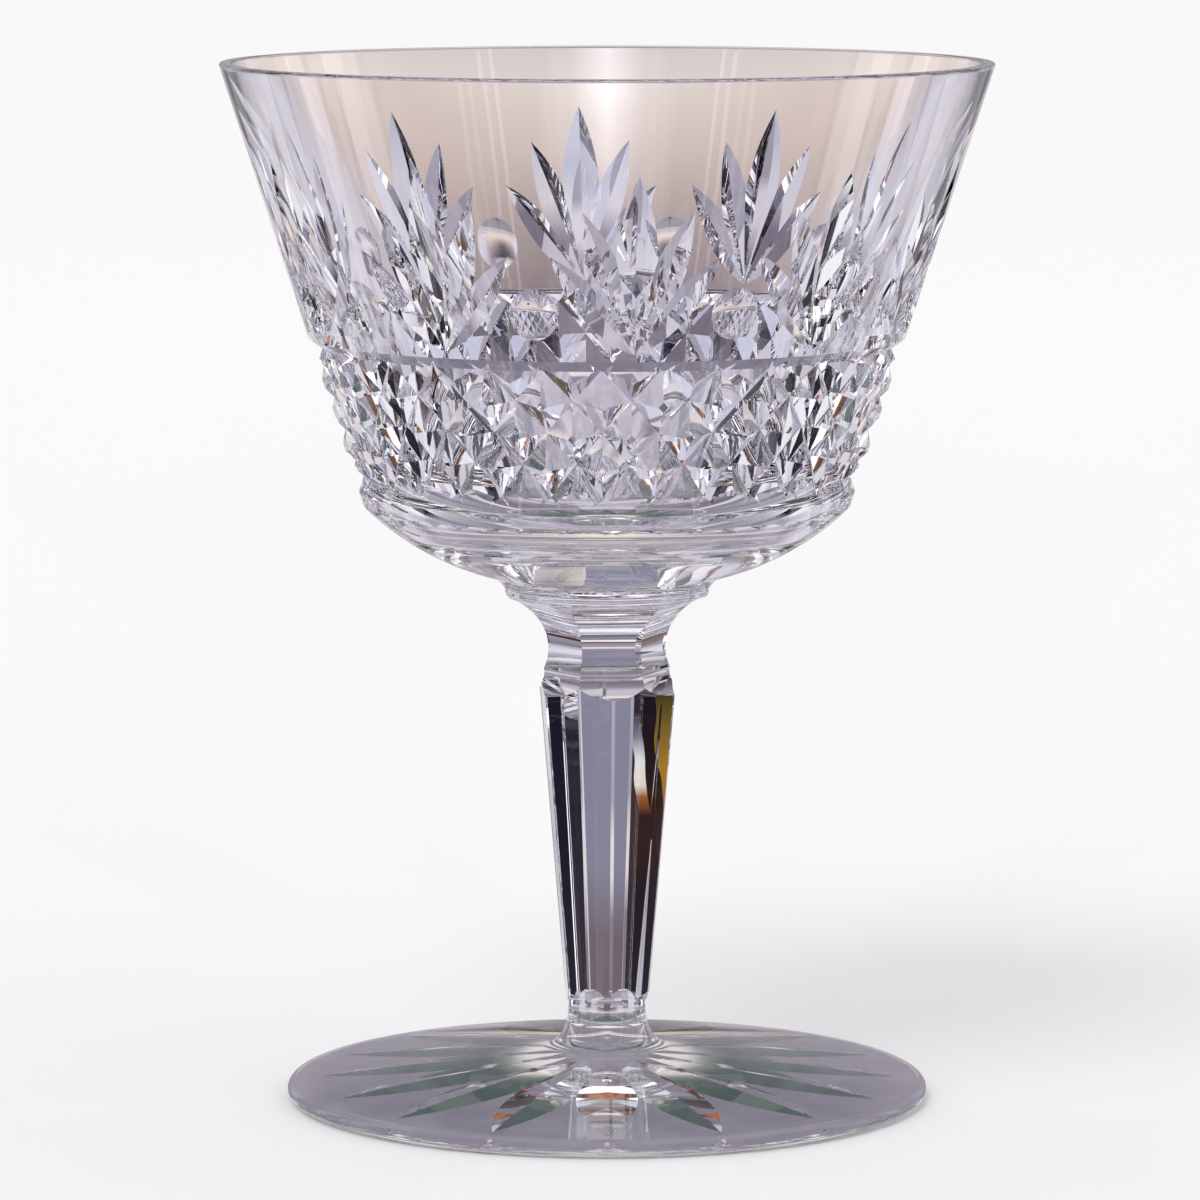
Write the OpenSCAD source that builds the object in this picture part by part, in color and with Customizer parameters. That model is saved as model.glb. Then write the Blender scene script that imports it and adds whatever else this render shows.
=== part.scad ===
// Stemmed drinking glass of wheel-cut crystal, made of the four gathers of glass that are
// joined hot: foot, stem, wafer and bowl, stacked along +Z.
// Millimetres, +Z up, origin at the centre of the foot's underside, front towards -Y.

/* [Foot] */
// Diameter of the foot
foot_d = 65; // [56:0.5:80]
// Thickness of the foot at its rounded edge
foot_edge = 1.8; // [1.4:0.1:3]
// Rise of the foot's top towards the hub, in degrees
foot_rise = 7.4; // [5:0.2:10]
// Radius at which the hub leaves the foot's top
hub_r = 6.6; // [5.4:0.1:9]
// Height of the hub, where the stem is joined
hub_h = 8.9; // [8:0.1:12]
// Radius of the joint between hub and stem
hub_joint_r = 3.95; // [3.4:0.05:4.4]

/* [Star under the foot] */
// Number of rays
star_rays = 16; // [10:1:20]
// Plain margin between the tips of the rays and the edge of the foot
star_margin = 3.3; // [2.4:0.1:8]
// Radius at which the rays begin
star_start_r = 4; // [3:0.1:7]
// Depth of a ray in its middle
star_depth = 1.35; // [0.6:0.05:1.6]
// Full angle of the ray's mitre, in degrees
star_mitre = 132; // [100:1:136]
// Turn of the star about the axis, in degrees
star_turn = 17.5; // [0:0.5:22]

/* [Stem] */
// Length of the stem from the hub to the wafer
stem_len = 42.9; // [36:0.5:60]
// Across flats of the shaft at its lower end
shaft_low = 8.2; // [8:0.1:10]
// Across flats of the shaft at its shoulder
shaft_high = 13.1; // [12:0.1:15]
// Height over which the shaft's lower end rounds out from the joint
shaft_root = 1.9; // [1:0.1:4]
// Depth of the polished land on each edge of the shaft
shaft_land = 0.1; // [0.05:0.01:0.3]
// Across flats of the neck at its narrowest
neck_af = 10.3; // [9.4:0.1:11]
// Radius of the wheel that cuts the flutes of the neck
flute_r = 5.5; // [4.5:0.1:7]
// Plain margin between the top of the flutes and the top of the stem
flute_margin = 0.4; // [0.3:0.05:1.5]
// Radius of the wheel that cuts the shoulder facets
shoulder_r = 2; // [1.6:0.1:2.6]
// Across flats of the stem at the shoulder cuts
shoulder_af = 11; // [10.6:0.1:11.6]
// Drop from the narrowest place of the neck to the middle of the shoulder cuts
shoulder_drop = 2.45; // [2:0.05:3.5]
// Radius of the capital at the top of the stem
capital_r = 10.3; // [9.8:0.1:12]
// Height of the capital's flare
capital_h = 3.9; // [3:0.1:5]
// Rounding at the edge of the capital
capital_round = 0.9; // [0.4:0.1:1.5]

/* [Wafer] */
// Thickness of the wafer
wafer_h = 1.4; // [1:0.1:3]
// Radius of the joint between wafer and bowl
bowl_joint_r = 11.4; // [10.5:0.1:14]

/* [Bowl] */
// Height of the bowl
bowl_h = 51.8; // [44:0.2:70]
// Diameter of the lip
lip_d = 77.6; // [70:0.2:90]
// Thickness of the lip, which is ground level and polished
lip_t = 1.3; // [1:0.1:2]
// Rounding of the lip's two edges
lip_round = 0.2; // [0.1:0.05:0.45]
// Diameter of the bowl where the straight wall begins
wall_foot_d = 49.1; // [46:0.1:54]
// Height at which the straight wall begins
wall_foot_h = 7.3; // [6:0.1:10]
// Level thickness of the wall where it begins
wall_foot_t = 4.6; // [3.8:0.1:5.5]
// Radius of the rounded underside
base_round_r = 28; // [18:0.5:40]
// Thickness of the glass under the bowl's floor
floor_t = 5.2; // [4:0.1:8]
// Radius of the inner corner between floor and wall
floor_corner_r = 7; // [4:0.1:10]

/* [Diamond band] */
// Number of diamonds around the bowl
diamonds = 30; // [24:1:36]
// Height of the band's lower ring cut over the bowl's joint
band_low = 10.1; // [9.5:0.1:13]
// Height of one diamond
diamond_h = 6.4; // [5:0.1:8]
// Depth of the crossed cuts in the middle of the band
diamond_depth = 1.5; // [0.8:0.05:1.8]
// Full angle of the crossed cuts, in degrees
diamond_mitre = 104; // [90:1:120]
// Depth of the two ring cuts
ring_depth = 1.05; // [0.6:0.05:1.4]
// Full angle of the ring cuts, in degrees
ring_mitre = 108; // [90:1:120]

/* [Fans] */
// Number of fans around the bowl
fans = 10; // [8:1:11]
// Blades on each side of a fan's upright blade
fan_side = 2; // [1:1:2]
// Angle between neighbouring blades, in degrees
fan_step = 19; // [14:0.5:20]
// Length of the upright blade
blade_len = 18.6; // [14:0.1:21]
// How much shorter each next blade is
blade_less = 2.8; // [1:0.1:4]
// Gap between the ring cut's line and the point that a fan spreads from
fan_gap = 1.6; // [1:0.1:4]
// Gap between that point and the lower tips of the blades
blade_start = 0.4; // [0.2:0.1:2]
// Radius of the wheel that cuts the blades
blade_wheel_r = 31; // [29:0.5:60]
// Full angle of the blades' mitre, in degrees
blade_mitre = 114; // [90:1:124]

/* [Round cuts] */
// Diameter of the round cut between two fans
dot_d = 5.4; // [3:0.1:6]
// Radius of the wheel that cuts it
dot_wheel_r = 8; // [6:0.1:20]
// Height of its middle over the fan's foot
dot_rise = 4.4; // [3:0.1:6]

/* [Hidden] */
$fn = 96;

// Sides of the shaft and of the neck.
SIDES = 6;
// Steps in which an arc of an outline is drawn.
ARC_STEPS = 14;
// How far a cutting wheel stands clear of the glass on its open side.
PROUD = 0.6;

crystal = [0.80, 0.80, 0.86, 0.55];

// Heights of the joints.
stem_z = hub_h;
wafer_z = stem_z + stem_len;
bowl_z = wafer_z + wafer_h;

// Points of an arc from angle a0 to a1.
function arc(c, r, a0, a1, steps = ARC_STEPS) =
    [for (i = [0:steps]) let (a = a0 + (a1 - a0) * i / steps) c + r * [cos(a), sin(a)]];

// Points of a hollow quarter ellipse that sweeps from p, level there, up to q, upright there.
function sweep_up(p, q, steps = ARC_STEPS) =
    [for (i = [0:steps]) let (a = 90 * i / steps)
        [p.x + (q.x - p.x) * sin(a), q.y + (p.y - q.y) * cos(a)]];

// Centre of a circle of radius r through p and q, on the left of the way from p to q.
function round_centre(p, q, r) =
    let (d = q - p, half = norm(d) / 2, rise = sqrt(r * r - half * half))
    (p + q) / 2 + rise * [-d.y, d.x] / norm(d);

// Angle of the direction from c to p.
function bearing(c, p) = atan2(p.y - c.y, p.x - c.x);

// Depth at which a wheel of radius r cuts a lens of length len into glass of the given bend.
function wheel_depth(len, r, bend = 0) = len * len / 8 * (1 / r + bend);

// Cut of a mitre wheel: it runs along Z with its deepest point at [-depth, 0, 0], and +X is out of
// the glass.
module mitre_cut(wheel_r, depth, len, mitre) {
    h = depth + PROUD;
    half_w = h * tan(mitre / 2);
    reach = asin(min(0.99, (len / 2 + 1.2) / wheel_r));
    translate([wheel_r - depth, 0, 0])
        rotate([90, 0, 180])
            rotate([0, 0, -reach])
                rotate_extrude(angle = 2 * reach)
                    polygon([
                        [wheel_r - h, -half_w],
                        [wheel_r, 0],
                        [wheel_r - h, half_w]
                    ]);
}

// Foot

foot_r = foot_d / 2;
foot_round = foot_edge / 2;
hub_foot_z = foot_edge + (foot_r - foot_round - hub_r) * tan(foot_rise);
star_tip_r = foot_r - star_margin;
star_len = star_tip_r - star_start_r;
// The wheel that leaves a ray of this length at this depth.
star_wheel_r = star_len * star_len / (8 * star_depth);

module foot_blank() {
    rotate_extrude()
        polygon(concat(
            [[0, 0], [foot_r - foot_round, 0]],
            arc([foot_r - foot_round, foot_round], foot_round, -80, 80, 8),
            [[foot_r - foot_round, foot_edge]],
            sweep_up([hub_r, hub_foot_z], [hub_joint_r, hub_h]),
            [[0, hub_h]]
        ));
}

// One ray of the star, as the glass that the wheel takes away.
module star_ray(i) {
    rotate([0, 0, star_turn + i * 360 / star_rays])
        translate([star_start_r + star_len / 2, 0, 0])
            rotate([0, 90, 0])
                mitre_cut(star_wheel_r, star_depth, star_len, star_mitre);
}

// Every other ray is cut first, and then the rays between them, which share their edges.
module foot() {
    color(crystal)
        difference() {
            difference() {
                foot_blank();
                for (i = [0:2:star_rays - 1])
                    star_ray(i);
            }
            for (i = [1:2:star_rays - 1])
                star_ray(i);
        }
}

// Stem, in heights over its own joint with the hub

neck_z = stem_len - flute_margin - flute_r;
shoulder_z = neck_z - shoulder_drop;
shaft_top = shoulder_z - shoulder_r;
shaft_slope = atan((shaft_high - shaft_low) / 2 / (shaft_top - shaft_root));
to_corner = 1 / cos(180 / SIDES);
// The neck before it is cut is a little thicker than its six edges.
neck_blank_r = shoulder_af / 2 * to_corner + 0.2;

// Distance of a shaft panel from the axis.
function panel_at(z) = shaft_low / 2 + (z - shaft_root) * tan(shaft_slope);

// Radius of the shaft before its panels are cut.
function shaft_blank_at(z) = panel_at(z) * to_corner - shaft_land;

// One of the six flat panels of the shaft, as the glass that is ground away.
module panel_cut() {
    translate([panel_at(0), 0, 0])
        rotate([0, shaft_slope, 0])
            translate([0, -shaft_high, -2])
                cube([shaft_high, 2 * shaft_high, shoulder_z + 2.5]);
}

// Level wheel cut across the stem, whose deepest line lies at the given distance from the axis.
module cross_cut(wheel_r, from_axis, z) {
    translate([from_axis + wheel_r, 0, z])
        rotate([90, 0, 0])
            cylinder(r = wheel_r, h = 2 * capital_r, center = true);
}

module stem() {
    color(crystal)
        translate([0, 0, stem_z])
            difference() {
                rotate_extrude()
                    polygon(concat(
                        [[0, 0]],
                        [for (i = [0:6]) let (a = 15 * i)
                            [hub_joint_r + (shaft_blank_at(shaft_root) - hub_joint_r) * (1 - cos(a)),
                             shaft_root * sin(a)]],
                        [
                            [shaft_blank_at(shaft_top + 0.5), shaft_top + 0.5],
                            [neck_blank_r, shoulder_z + 0.3],
                            [neck_blank_r, stem_len - capital_h]
                        ],
                        arc([capital_r - capital_round, stem_len], capital_round, -45, 0, 5),
                        [[0, stem_len]]
                    ));
                for (i = [0:SIDES - 1]) {
                    rotate([0, 0, i * 360 / SIDES])
                        panel_cut();
                    rotate([0, 0, 180 / SIDES + i * 360 / SIDES]) {
                        cross_cut(flute_r, neck_af / 2, neck_z);
                        cross_cut(shoulder_r, shoulder_af / 2, shoulder_z);
                    }
                }
            }
}

// Wafer

module wafer() {
    color(crystal)
        translate([0, 0, wafer_z])
            rotate_extrude()
                polygon(concat(
                    [[0, 0]],
                    [for (i = [0:6]) let (t = i / 6)
                        [capital_r + (bowl_joint_r - capital_r) * pow(t, 1.6), wafer_h * t]],
                    [[0, wafer_h]]
                ));
}

// Bowl, in heights over its own joint with the wafer

lip_r = lip_d / 2;
lip_z = bowl_h - lip_round;
wall_foot_r = wall_foot_d / 2;
wall_slope = (lip_r - wall_foot_r) / (lip_z - wall_foot_h);
wall_angle = atan(wall_slope);
inner_foot_r = wall_foot_r - wall_foot_t;
inner_slope = (lip_r - lip_t - inner_foot_r) / (lip_z - wall_foot_h);
base_centre = round_centre([bowl_joint_r, 0], [wall_foot_r, wall_foot_h], base_round_r);
corner_z = floor_t + floor_corner_r;
corner_x = inner_foot_r + inner_slope * (corner_z - wall_foot_h)
    - floor_corner_r * sqrt(1 + inner_slope * inner_slope);

// Radius of the outer wall at a height.
function wall_at(z) = wall_foot_r + (z - wall_foot_h) * wall_slope;

// Bend of the wall along a line that leans from upright, as one over its radius.
function wall_bend(z, lean) = pow(sin(lean), 2) * cos(wall_angle) / wall_at(z);

// Puts a cut on the wall at a turn from the front and a height, +X out of the glass and +Z up the wall.
module on_wall(turn, z) {
    rotate([0, 0, turn - 90])
        translate([wall_at(z), 0, z])
            rotate([0, wall_angle, 0])
                children();
}

module bowl_blank() {
    rotate_extrude()
        polygon(concat(
            [[0, 0]],
            arc(base_centre, base_round_r, bearing(base_centre, [bowl_joint_r, 0]),
                bearing(base_centre, [wall_foot_r, wall_foot_h])),
            arc([lip_r - lip_round, lip_z], lip_round, 0, 90, 5),
            arc([lip_r - lip_t + lip_round, lip_z], lip_round, 90, 180, 5),
            arc([corner_x, corner_z], floor_corner_r, -atan(inner_slope), -90),
            [[0, floor_t]]
        ));
}

// Diamond band: two ring cuts with crossed straight cuts between them.

band_high = band_low + 2 * diamond_h;
band_mid = band_low + diamond_h;
diamond_w = 2 * PI * wall_at(band_mid) / diamonds;
// The crossed cuts lean so that they join the corners of a diamond, measured up the wall.
diamond_lean = atan(diamond_w / (diamond_h / cos(wall_angle)));
cross_len = 2 * diamond_h / cos(wall_angle) / cos(diamond_lean);

module ring_cut(z) {
    h = ring_depth + PROUD;
    half_w = h * tan(ring_mitre / 2);
    out = [cos(wall_angle), -sin(wall_angle)];
    up = [sin(wall_angle), cos(wall_angle)];
    p = [wall_at(z), z];
    rotate_extrude()
        polygon([p - ring_depth * out, p + PROUD * out - half_w * up, p + PROUD * out + half_w * up]);
}

module cross_mitre(lean) {
    h = diamond_depth + PROUD;
    half_w = h * tan(diamond_mitre / 2);
    rotate([lean, 0, 0])
        linear_extrude(height = cross_len, center = true)
            polygon([[-diamond_depth, 0], [PROUD, -half_w], [PROUD, half_w]]);
}

module diamond_band() {
    ring_cut(band_low);
    ring_cut(band_high);
    for (i = [0:diamonds - 1])
        on_wall((i + 0.5) * 360 / diamonds, band_mid) {
            cross_mitre(diamond_lean);
            cross_mitre(-diamond_lean);
        }
}

module banded_bowl() {
    difference() {
        bowl_blank();
        diamond_band();
    }
}

// Fans: blades that spread from a point over the band, the upright one the longest.

fan_z = band_high + fan_gap;

// The k-th blade of a fan, counted from its upright blade.
module blade(turn, k) {
    lean = k * fan_step;
    len = blade_len - abs(k) * blade_less;
    out = blade_start + len / 2;
    z = fan_z + out * cos(lean) * cos(wall_angle);
    depth = wheel_depth(len, blade_wheel_r, wall_bend(z, lean));
    on_wall(turn + out * sin(lean) / wall_at(z) * 180 / PI, z)
        rotate([-lean, 0, 0])
            mitre_cut(blade_wheel_r, depth, len, blade_mitre);
}

// The bowl with the blades of each fan up to the k-th, cut from the upright one outwards.
module fanned_bowl(k) {
    if (k < 0)
        banded_bowl();
    else
        difference() {
            fanned_bowl(k - 1);
            for (i = [0:fans - 1]) {
                blade(i * 360 / fans, k);
                if (k > 0)
                    blade(i * 360 / fans, -k);
            }
        }
}

// Round cuts between the feet of the fans.

dot_depth = wheel_depth(dot_d, dot_wheel_r);

module dot(turn) {
    on_wall(turn, fan_z + dot_rise)
        translate([dot_wheel_r - dot_depth, 0, 0])
            sphere(r = dot_wheel_r);
}

module bowl() {
    color(crystal)
        translate([0, 0, bowl_z])
            difference() {
                fanned_bowl(fan_side);
                for (i = [0:fans - 1])
                    dot((i + 0.5) * 360 / fans);
            }
}

foot();
stem();
wafer();
bowl();
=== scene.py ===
"""Dresses a stemmed drinking glass of wheel-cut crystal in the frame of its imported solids.

Each gather of glass (foot, stem, wafer and bowl) is turned from its outline and then cut with the wheels
that cut the real one, and stands for the solid of the same name. Lengths are in millimetres until a mesh is
made.
"""

import logging
import math
from collections.abc import Sequence
from dataclasses import dataclass, replace
from enum import Enum

import bpy
from mathutils import Matrix, Vector

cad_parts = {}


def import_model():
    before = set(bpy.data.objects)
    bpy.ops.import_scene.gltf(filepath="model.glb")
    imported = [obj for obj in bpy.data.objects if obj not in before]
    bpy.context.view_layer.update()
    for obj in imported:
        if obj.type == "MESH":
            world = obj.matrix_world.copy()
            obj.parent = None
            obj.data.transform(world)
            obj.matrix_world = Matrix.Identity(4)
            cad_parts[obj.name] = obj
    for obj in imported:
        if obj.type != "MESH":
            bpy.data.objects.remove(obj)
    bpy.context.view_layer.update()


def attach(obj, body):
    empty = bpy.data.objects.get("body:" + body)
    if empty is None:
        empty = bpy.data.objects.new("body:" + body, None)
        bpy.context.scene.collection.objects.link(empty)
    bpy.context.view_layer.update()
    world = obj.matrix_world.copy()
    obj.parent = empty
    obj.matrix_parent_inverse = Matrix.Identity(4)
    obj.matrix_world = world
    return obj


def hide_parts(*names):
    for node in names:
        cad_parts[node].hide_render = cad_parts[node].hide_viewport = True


log = logging.getLogger("cut_glass")

MM = 0.001
# Sides of a turned form: three quarters of a degree each, so that reflections run round it without a step.
ROUND = 480
# A radius under the first lies on the axis, and heights that differ by less than the second are the same.
ON_AXIS = 1e-9
SAME_HEIGHT = 1e-4

Point = tuple[float, float]
Socket = bpy.types.NodeSocket


def linear(hex_colour: str) -> tuple[float, float, float, float]:
    """Turns an sRGB hex colour into a linear colour with full alpha.

    Args:
        hex_colour: The colour as "#RRGGBB".

    Returns:
        Red, green, blue and alpha, from 0 to 1.
    """
    channels = [int(hex_colour[i : i + 2], 16) / 255 for i in (1, 3, 5)]
    red, green, blue = (c / 12.92 if c <= 0.04045 else ((c + 0.055) / 1.055) ** 2.4 for c in channels)
    return red, green, blue, 1.0


def add_node(
    tree: bpy.types.NodeTree,
    kind: str,
    settings: dict[str | int, object] | None = None,
    links: dict[str | int, Socket] | None = None,
) -> bpy.types.Node:
    """Adds a shader node with its settings and links.

    Args:
        tree: The tree that the node goes into.
        kind: Blender's name for the kind of node.
        settings: Values for its inputs, by name or number, or for its other properties.
        links: The sockets that feed its inputs, by name or number.

    Returns:
        The new node.
    """
    node = tree.nodes.new(kind)
    for key, value in (settings or {}).items():
        if isinstance(key, int) or key in node.inputs:
            node.inputs[key].default_value = value
        else:
            setattr(node, key, value)
    for key, socket in (links or {}).items():
        tree.links.new(socket, node.inputs[key])
    return node


def set_stops(ramp: bpy.types.ColorRamp, stops: Sequence[tuple[float, str]]) -> None:
    """Gives a colour ramp its stops.

    Args:
        ramp: The ramp of a Color Ramp node.
        stops: Places from 0 to 1 with their colours, in order.
    """
    while len(ramp.elements) < len(stops):
        ramp.elements.new(0.5)
    for element, (place, colour) in zip(ramp.elements, stops, strict=True):
        element.position = place
        element.color = linear(colour)


# Outlines and bodies


def arc(centre: Point, radius: float, start: float, end: float, steps: int) -> list[Point]:
    """Gives points along an arc of an outline.

    Args:
        centre: The arc's centre, as radius and height.
        radius: The arc's radius.
        start: The angle it starts at, in degrees.
        end: The angle it ends at, in degrees.
        steps: How many straight steps stand for it.

    Returns:
        The points, both ends included.
    """
    angles = [math.radians(start + (end - start) * i / steps) for i in range(steps + 1)]
    return [(centre[0] + radius * math.cos(a), centre[1] + radius * math.sin(a)) for a in angles]


def quarter_turn(steps: int) -> list[float]:
    """Gives the angles of a quarter turn in even steps, in radians, both ends included."""
    return [math.pi / 2 * i / steps for i in range(steps + 1)]


def refined(outline: list[Point], longest: float) -> list[Point]:
    """Splits the long straight runs of an outline.

    Args:
        outline: The points of the outline.
        longest: The longest run that may stay whole.

    Returns:
        The outline with points added along its long runs.
    """
    points = [outline[0]]
    for (r0, z0), (r1, z1) in zip(outline, outline[1:]):
        parts = max(1, math.ceil(math.hypot(r1 - r0, z1 - z0) / longest))
        points += [(r0 + (r1 - r0) * i / parts, z0 + (z1 - z0) * i / parts) for i in range(1, parts + 1)]
    return points


def body(name: str, points: list[Vector], faces: list[tuple[int, ...]]) -> bpy.types.Object:
    """Makes a mesh object from points in millimetres.

    Args:
        name: The object's name.
        points: The mesh's points.
        faces: The faces, as numbers of their points, seen anticlockwise from outside.

    Returns:
        The object, linked to the scene.
    """
    mesh = bpy.data.meshes.new(name)
    mesh.from_pydata([tuple(p * MM) for p in points], [], faces)
    made = bpy.data.objects.new(name, mesh)
    bpy.context.scene.collection.objects.link(made)
    return made


def turned(
    name: str, outline: list[Point], sides: int = ROUND, closed: bool = False, place: Matrix | None = None
) -> bpy.types.Object:
    """Turns an outline about the axis, as on a lathe.

    Args:
        name: The object's name.
        outline: Radius and height of each point, with the glass on its left.
        sides: How many sides the round form has.
        closed: Whether the outline is a ring's section, which comes back to its first point.
        place: Where the form stands, or None for the glass's own axis.

    Returns:
        The turned body.
    """
    place = place or Matrix.Identity(4)
    points: list[Vector] = []
    rows: list[list[int]] = []
    for radius, height in outline:
        count = sides if radius > ON_AXIS else 1
        rows.append([len(points) + j for j in range(count)])
        for j in range(count):
            turn = 2 * math.pi * j / sides
            points.append(place @ Vector((radius * math.cos(turn), radius * math.sin(turn), height)))
    faces: list[tuple[int, ...]] = []
    for low, high in zip(rows, rows[1:] + rows[:1] if closed else rows[1:]):
        for j in range(sides):
            k = (j + 1) % sides
            if len(low) == 1 and len(high) == 1:
                break
            if len(low) == 1:
                faces.append((low[0], high[k], high[j]))
            elif len(high) == 1:
                faces.append((low[j], low[k], high[0]))
            else:
                faces.append((low[j], low[k], high[k], high[j]))
    return body(name, points, faces)


def swept(name: str, sections: list[list[Vector]]) -> bpy.types.Object:
    """Joins sections of the same count of points into a closed bar.

    Args:
        name: The object's name.
        sections: The sections in order, each anticlockwise seen from the bar's far end.

    Returns:
        The bar.
    """
    count = len(sections[0])
    points = [p for section in sections for p in section]
    faces: list[tuple[int, ...]] = [tuple(range(count))[::-1]]
    for i in range(len(sections) - 1):
        a, b = i * count, (i + 1) * count
        faces += [(a + j, a + (j + 1) % count, b + (j + 1) % count, b + j) for j in range(count)]
    faces.append(tuple(range(len(points) - count, len(points))))
    return body(name, points, faces)


@dataclass(frozen=True)
class MitreWheel:
    """A cutting wheel with a pointed rim, which leaves a lens-shaped groove.

    Attributes:
        radius: Radius of the rim.
        mitre: Full angle of the rim's point, in degrees.
        proud: How far the wheel stands clear of the glass over the groove.
        run_out: How far the cut is drawn on past each end of the groove.
        widest: The largest share of the wheel's radius that half a cut may take.
    """

    radius: float
    mitre: float
    proud: float = 0.6
    run_out: float = 1.2
    widest: float = 0.99

    def depth(self, length: float, bend: float = 0.0) -> float:
        """Gives the depth of a groove by its length, in glass that bends away by one over a radius."""
        return length * length / 8 * (1 / self.radius + bend)

    def cut(self, place: Matrix, depth: float, length: float, steps: int = 44) -> bpy.types.Object:
        """Makes the body that the wheel takes away.

        Args:
            place: Its place, +X out of the glass and +Z along the groove.
            depth: Depth of the groove in its middle.
            length: Length of the groove.
            steps: How many steps the rim's curve has.

        Returns:
            The body.
        """
        high = depth + self.proud
        half = high * math.tan(math.radians(self.mitre / 2))
        reach = math.asin(min(self.widest, (length / 2 + self.run_out) / self.radius))
        sections = []
        for i in range(steps + 1):
            a = reach * (2 * i / steps - 1)
            rim = [(self.radius, 0.0), (self.radius - high, half), (self.radius - high, -half)]
            sections.append(
                [
                    place @ Vector((self.radius - depth - r * math.cos(a), side, r * math.sin(a)))
                    for r, side in reversed(rim)
                ]
            )
        return swept("mitre_cut", sections)


def carved(blank: bpy.types.Object, passes: list[list[bpy.types.Object]]) -> bpy.types.Object:
    """Cuts bodies out of a blank, pass after pass.

    Args:
        blank: The turned glass.
        passes: The bodies to take away in each pass. They are used up.

    Returns:
        The blank, cut.
    """
    groups = []
    for number, cutters in enumerate(passes):
        group = bpy.data.collections.new(f"pass_{number}")
        for cutter in cutters:
            group.objects.link(cutter)
        groups.append(group)
        cut = blank.modifiers.new(group.name, "BOOLEAN")
        cut.operation = "DIFFERENCE"
        cut.operand_type = "COLLECTION"
        cut.collection = group
        cut.solver = "MANIFOLD"
    shape = blank.evaluated_get(bpy.context.evaluated_depsgraph_get())
    mesh = bpy.data.meshes.new_from_object(shape)
    blank.modifiers.clear()
    old, blank.data = blank.data, mesh
    mesh.name = blank.name
    bpy.data.meshes.remove(old)
    for cutters, group in zip(passes, groups):
        for cutter in cutters:
            bpy.data.meshes.remove(cutter.data)
        bpy.data.collections.remove(group)
    return blank


# Finishes


@dataclass(frozen=True)
class CutCrystal:
    """Full lead crystal, blown, wheel-cut and acid-polished.

    The eye gets a clear, heavy glass with strong bends and bright edges, a breath of lavender where it is
    thick, faint haze where it was handled and wiped, and the slow ripple of glass that was blown and not
    pressed.

    Attributes:
        tint: Colour that the glass leaves on light.
        ior: Refractive index of full lead crystal.
        roughness_clean: Roughness where the polish is clean.
        roughness_wiped: Roughness where it was handled and wiped.
        wipe_mm: Size of the wiped patches.
        wipe_start: Value of the noise at which a patch begins.
        wipe_full: Value of the noise at which it is fully wiped.
        ripple_mm: Length of the ripple of blown glass.
        ripple_depth_mm: Height of that ripple.
    """

    tint: str = "#FBFAFE"
    ior: float = 1.55
    roughness_clean: float = 0.0
    roughness_wiped: float = 0.022
    wipe_mm: float = 14.0
    wipe_start: float = 0.55
    wipe_full: float = 0.8
    ripple_mm: float = 9.0
    ripple_depth_mm: float = 0.012

    def material(self) -> bpy.types.Material:
        """Makes the material.

        Returns:
            The material.
        """
        made = bpy.data.materials.new("lead_crystal_cut_and_polished")
        made.use_nodes = True
        tree = made.node_tree
        tree.nodes.clear()
        where = add_node(tree, "ShaderNodeTexCoord")
        wipes = add_node(
            tree,
            "ShaderNodeTexNoise",
            {"Scale": 1 / (self.wipe_mm * MM), "Detail": 4.0, "Roughness": 0.6},
            {"Vector": where.outputs["Object"]},
        )
        haze = add_node(
            tree,
            "ShaderNodeMapRange",
            {
                "From Min": self.wipe_start,
                "From Max": self.wipe_full,
                "To Min": self.roughness_clean,
                "To Max": self.roughness_wiped,
            },
            {"Value": wipes.outputs["Fac"]},
        )
        ripple = add_node(
            tree,
            "ShaderNodeTexNoise",
            {"Scale": 1 / (self.ripple_mm * MM), "Detail": 1.0},
            {"Vector": where.outputs["Object"]},
        )
        bump = add_node(
            tree,
            "ShaderNodeBump",
            {"Strength": 1.0, "Distance": self.ripple_depth_mm * MM},
            {"Height": ripple.outputs["Fac"]},
        )
        glass = add_node(
            tree,
            "ShaderNodeBsdfPrincipled",
            {
                "Base Color": linear(self.tint),
                "IOR": self.ior,
                "Transmission Weight": 1.0,
            },
            {"Roughness": haze.outputs["Result"], "Normal": bump.outputs["Normal"]},
        )
        add_node(tree, "ShaderNodeOutputMaterial", links={"Surface": glass.outputs["BSDF"]})
        return made


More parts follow.
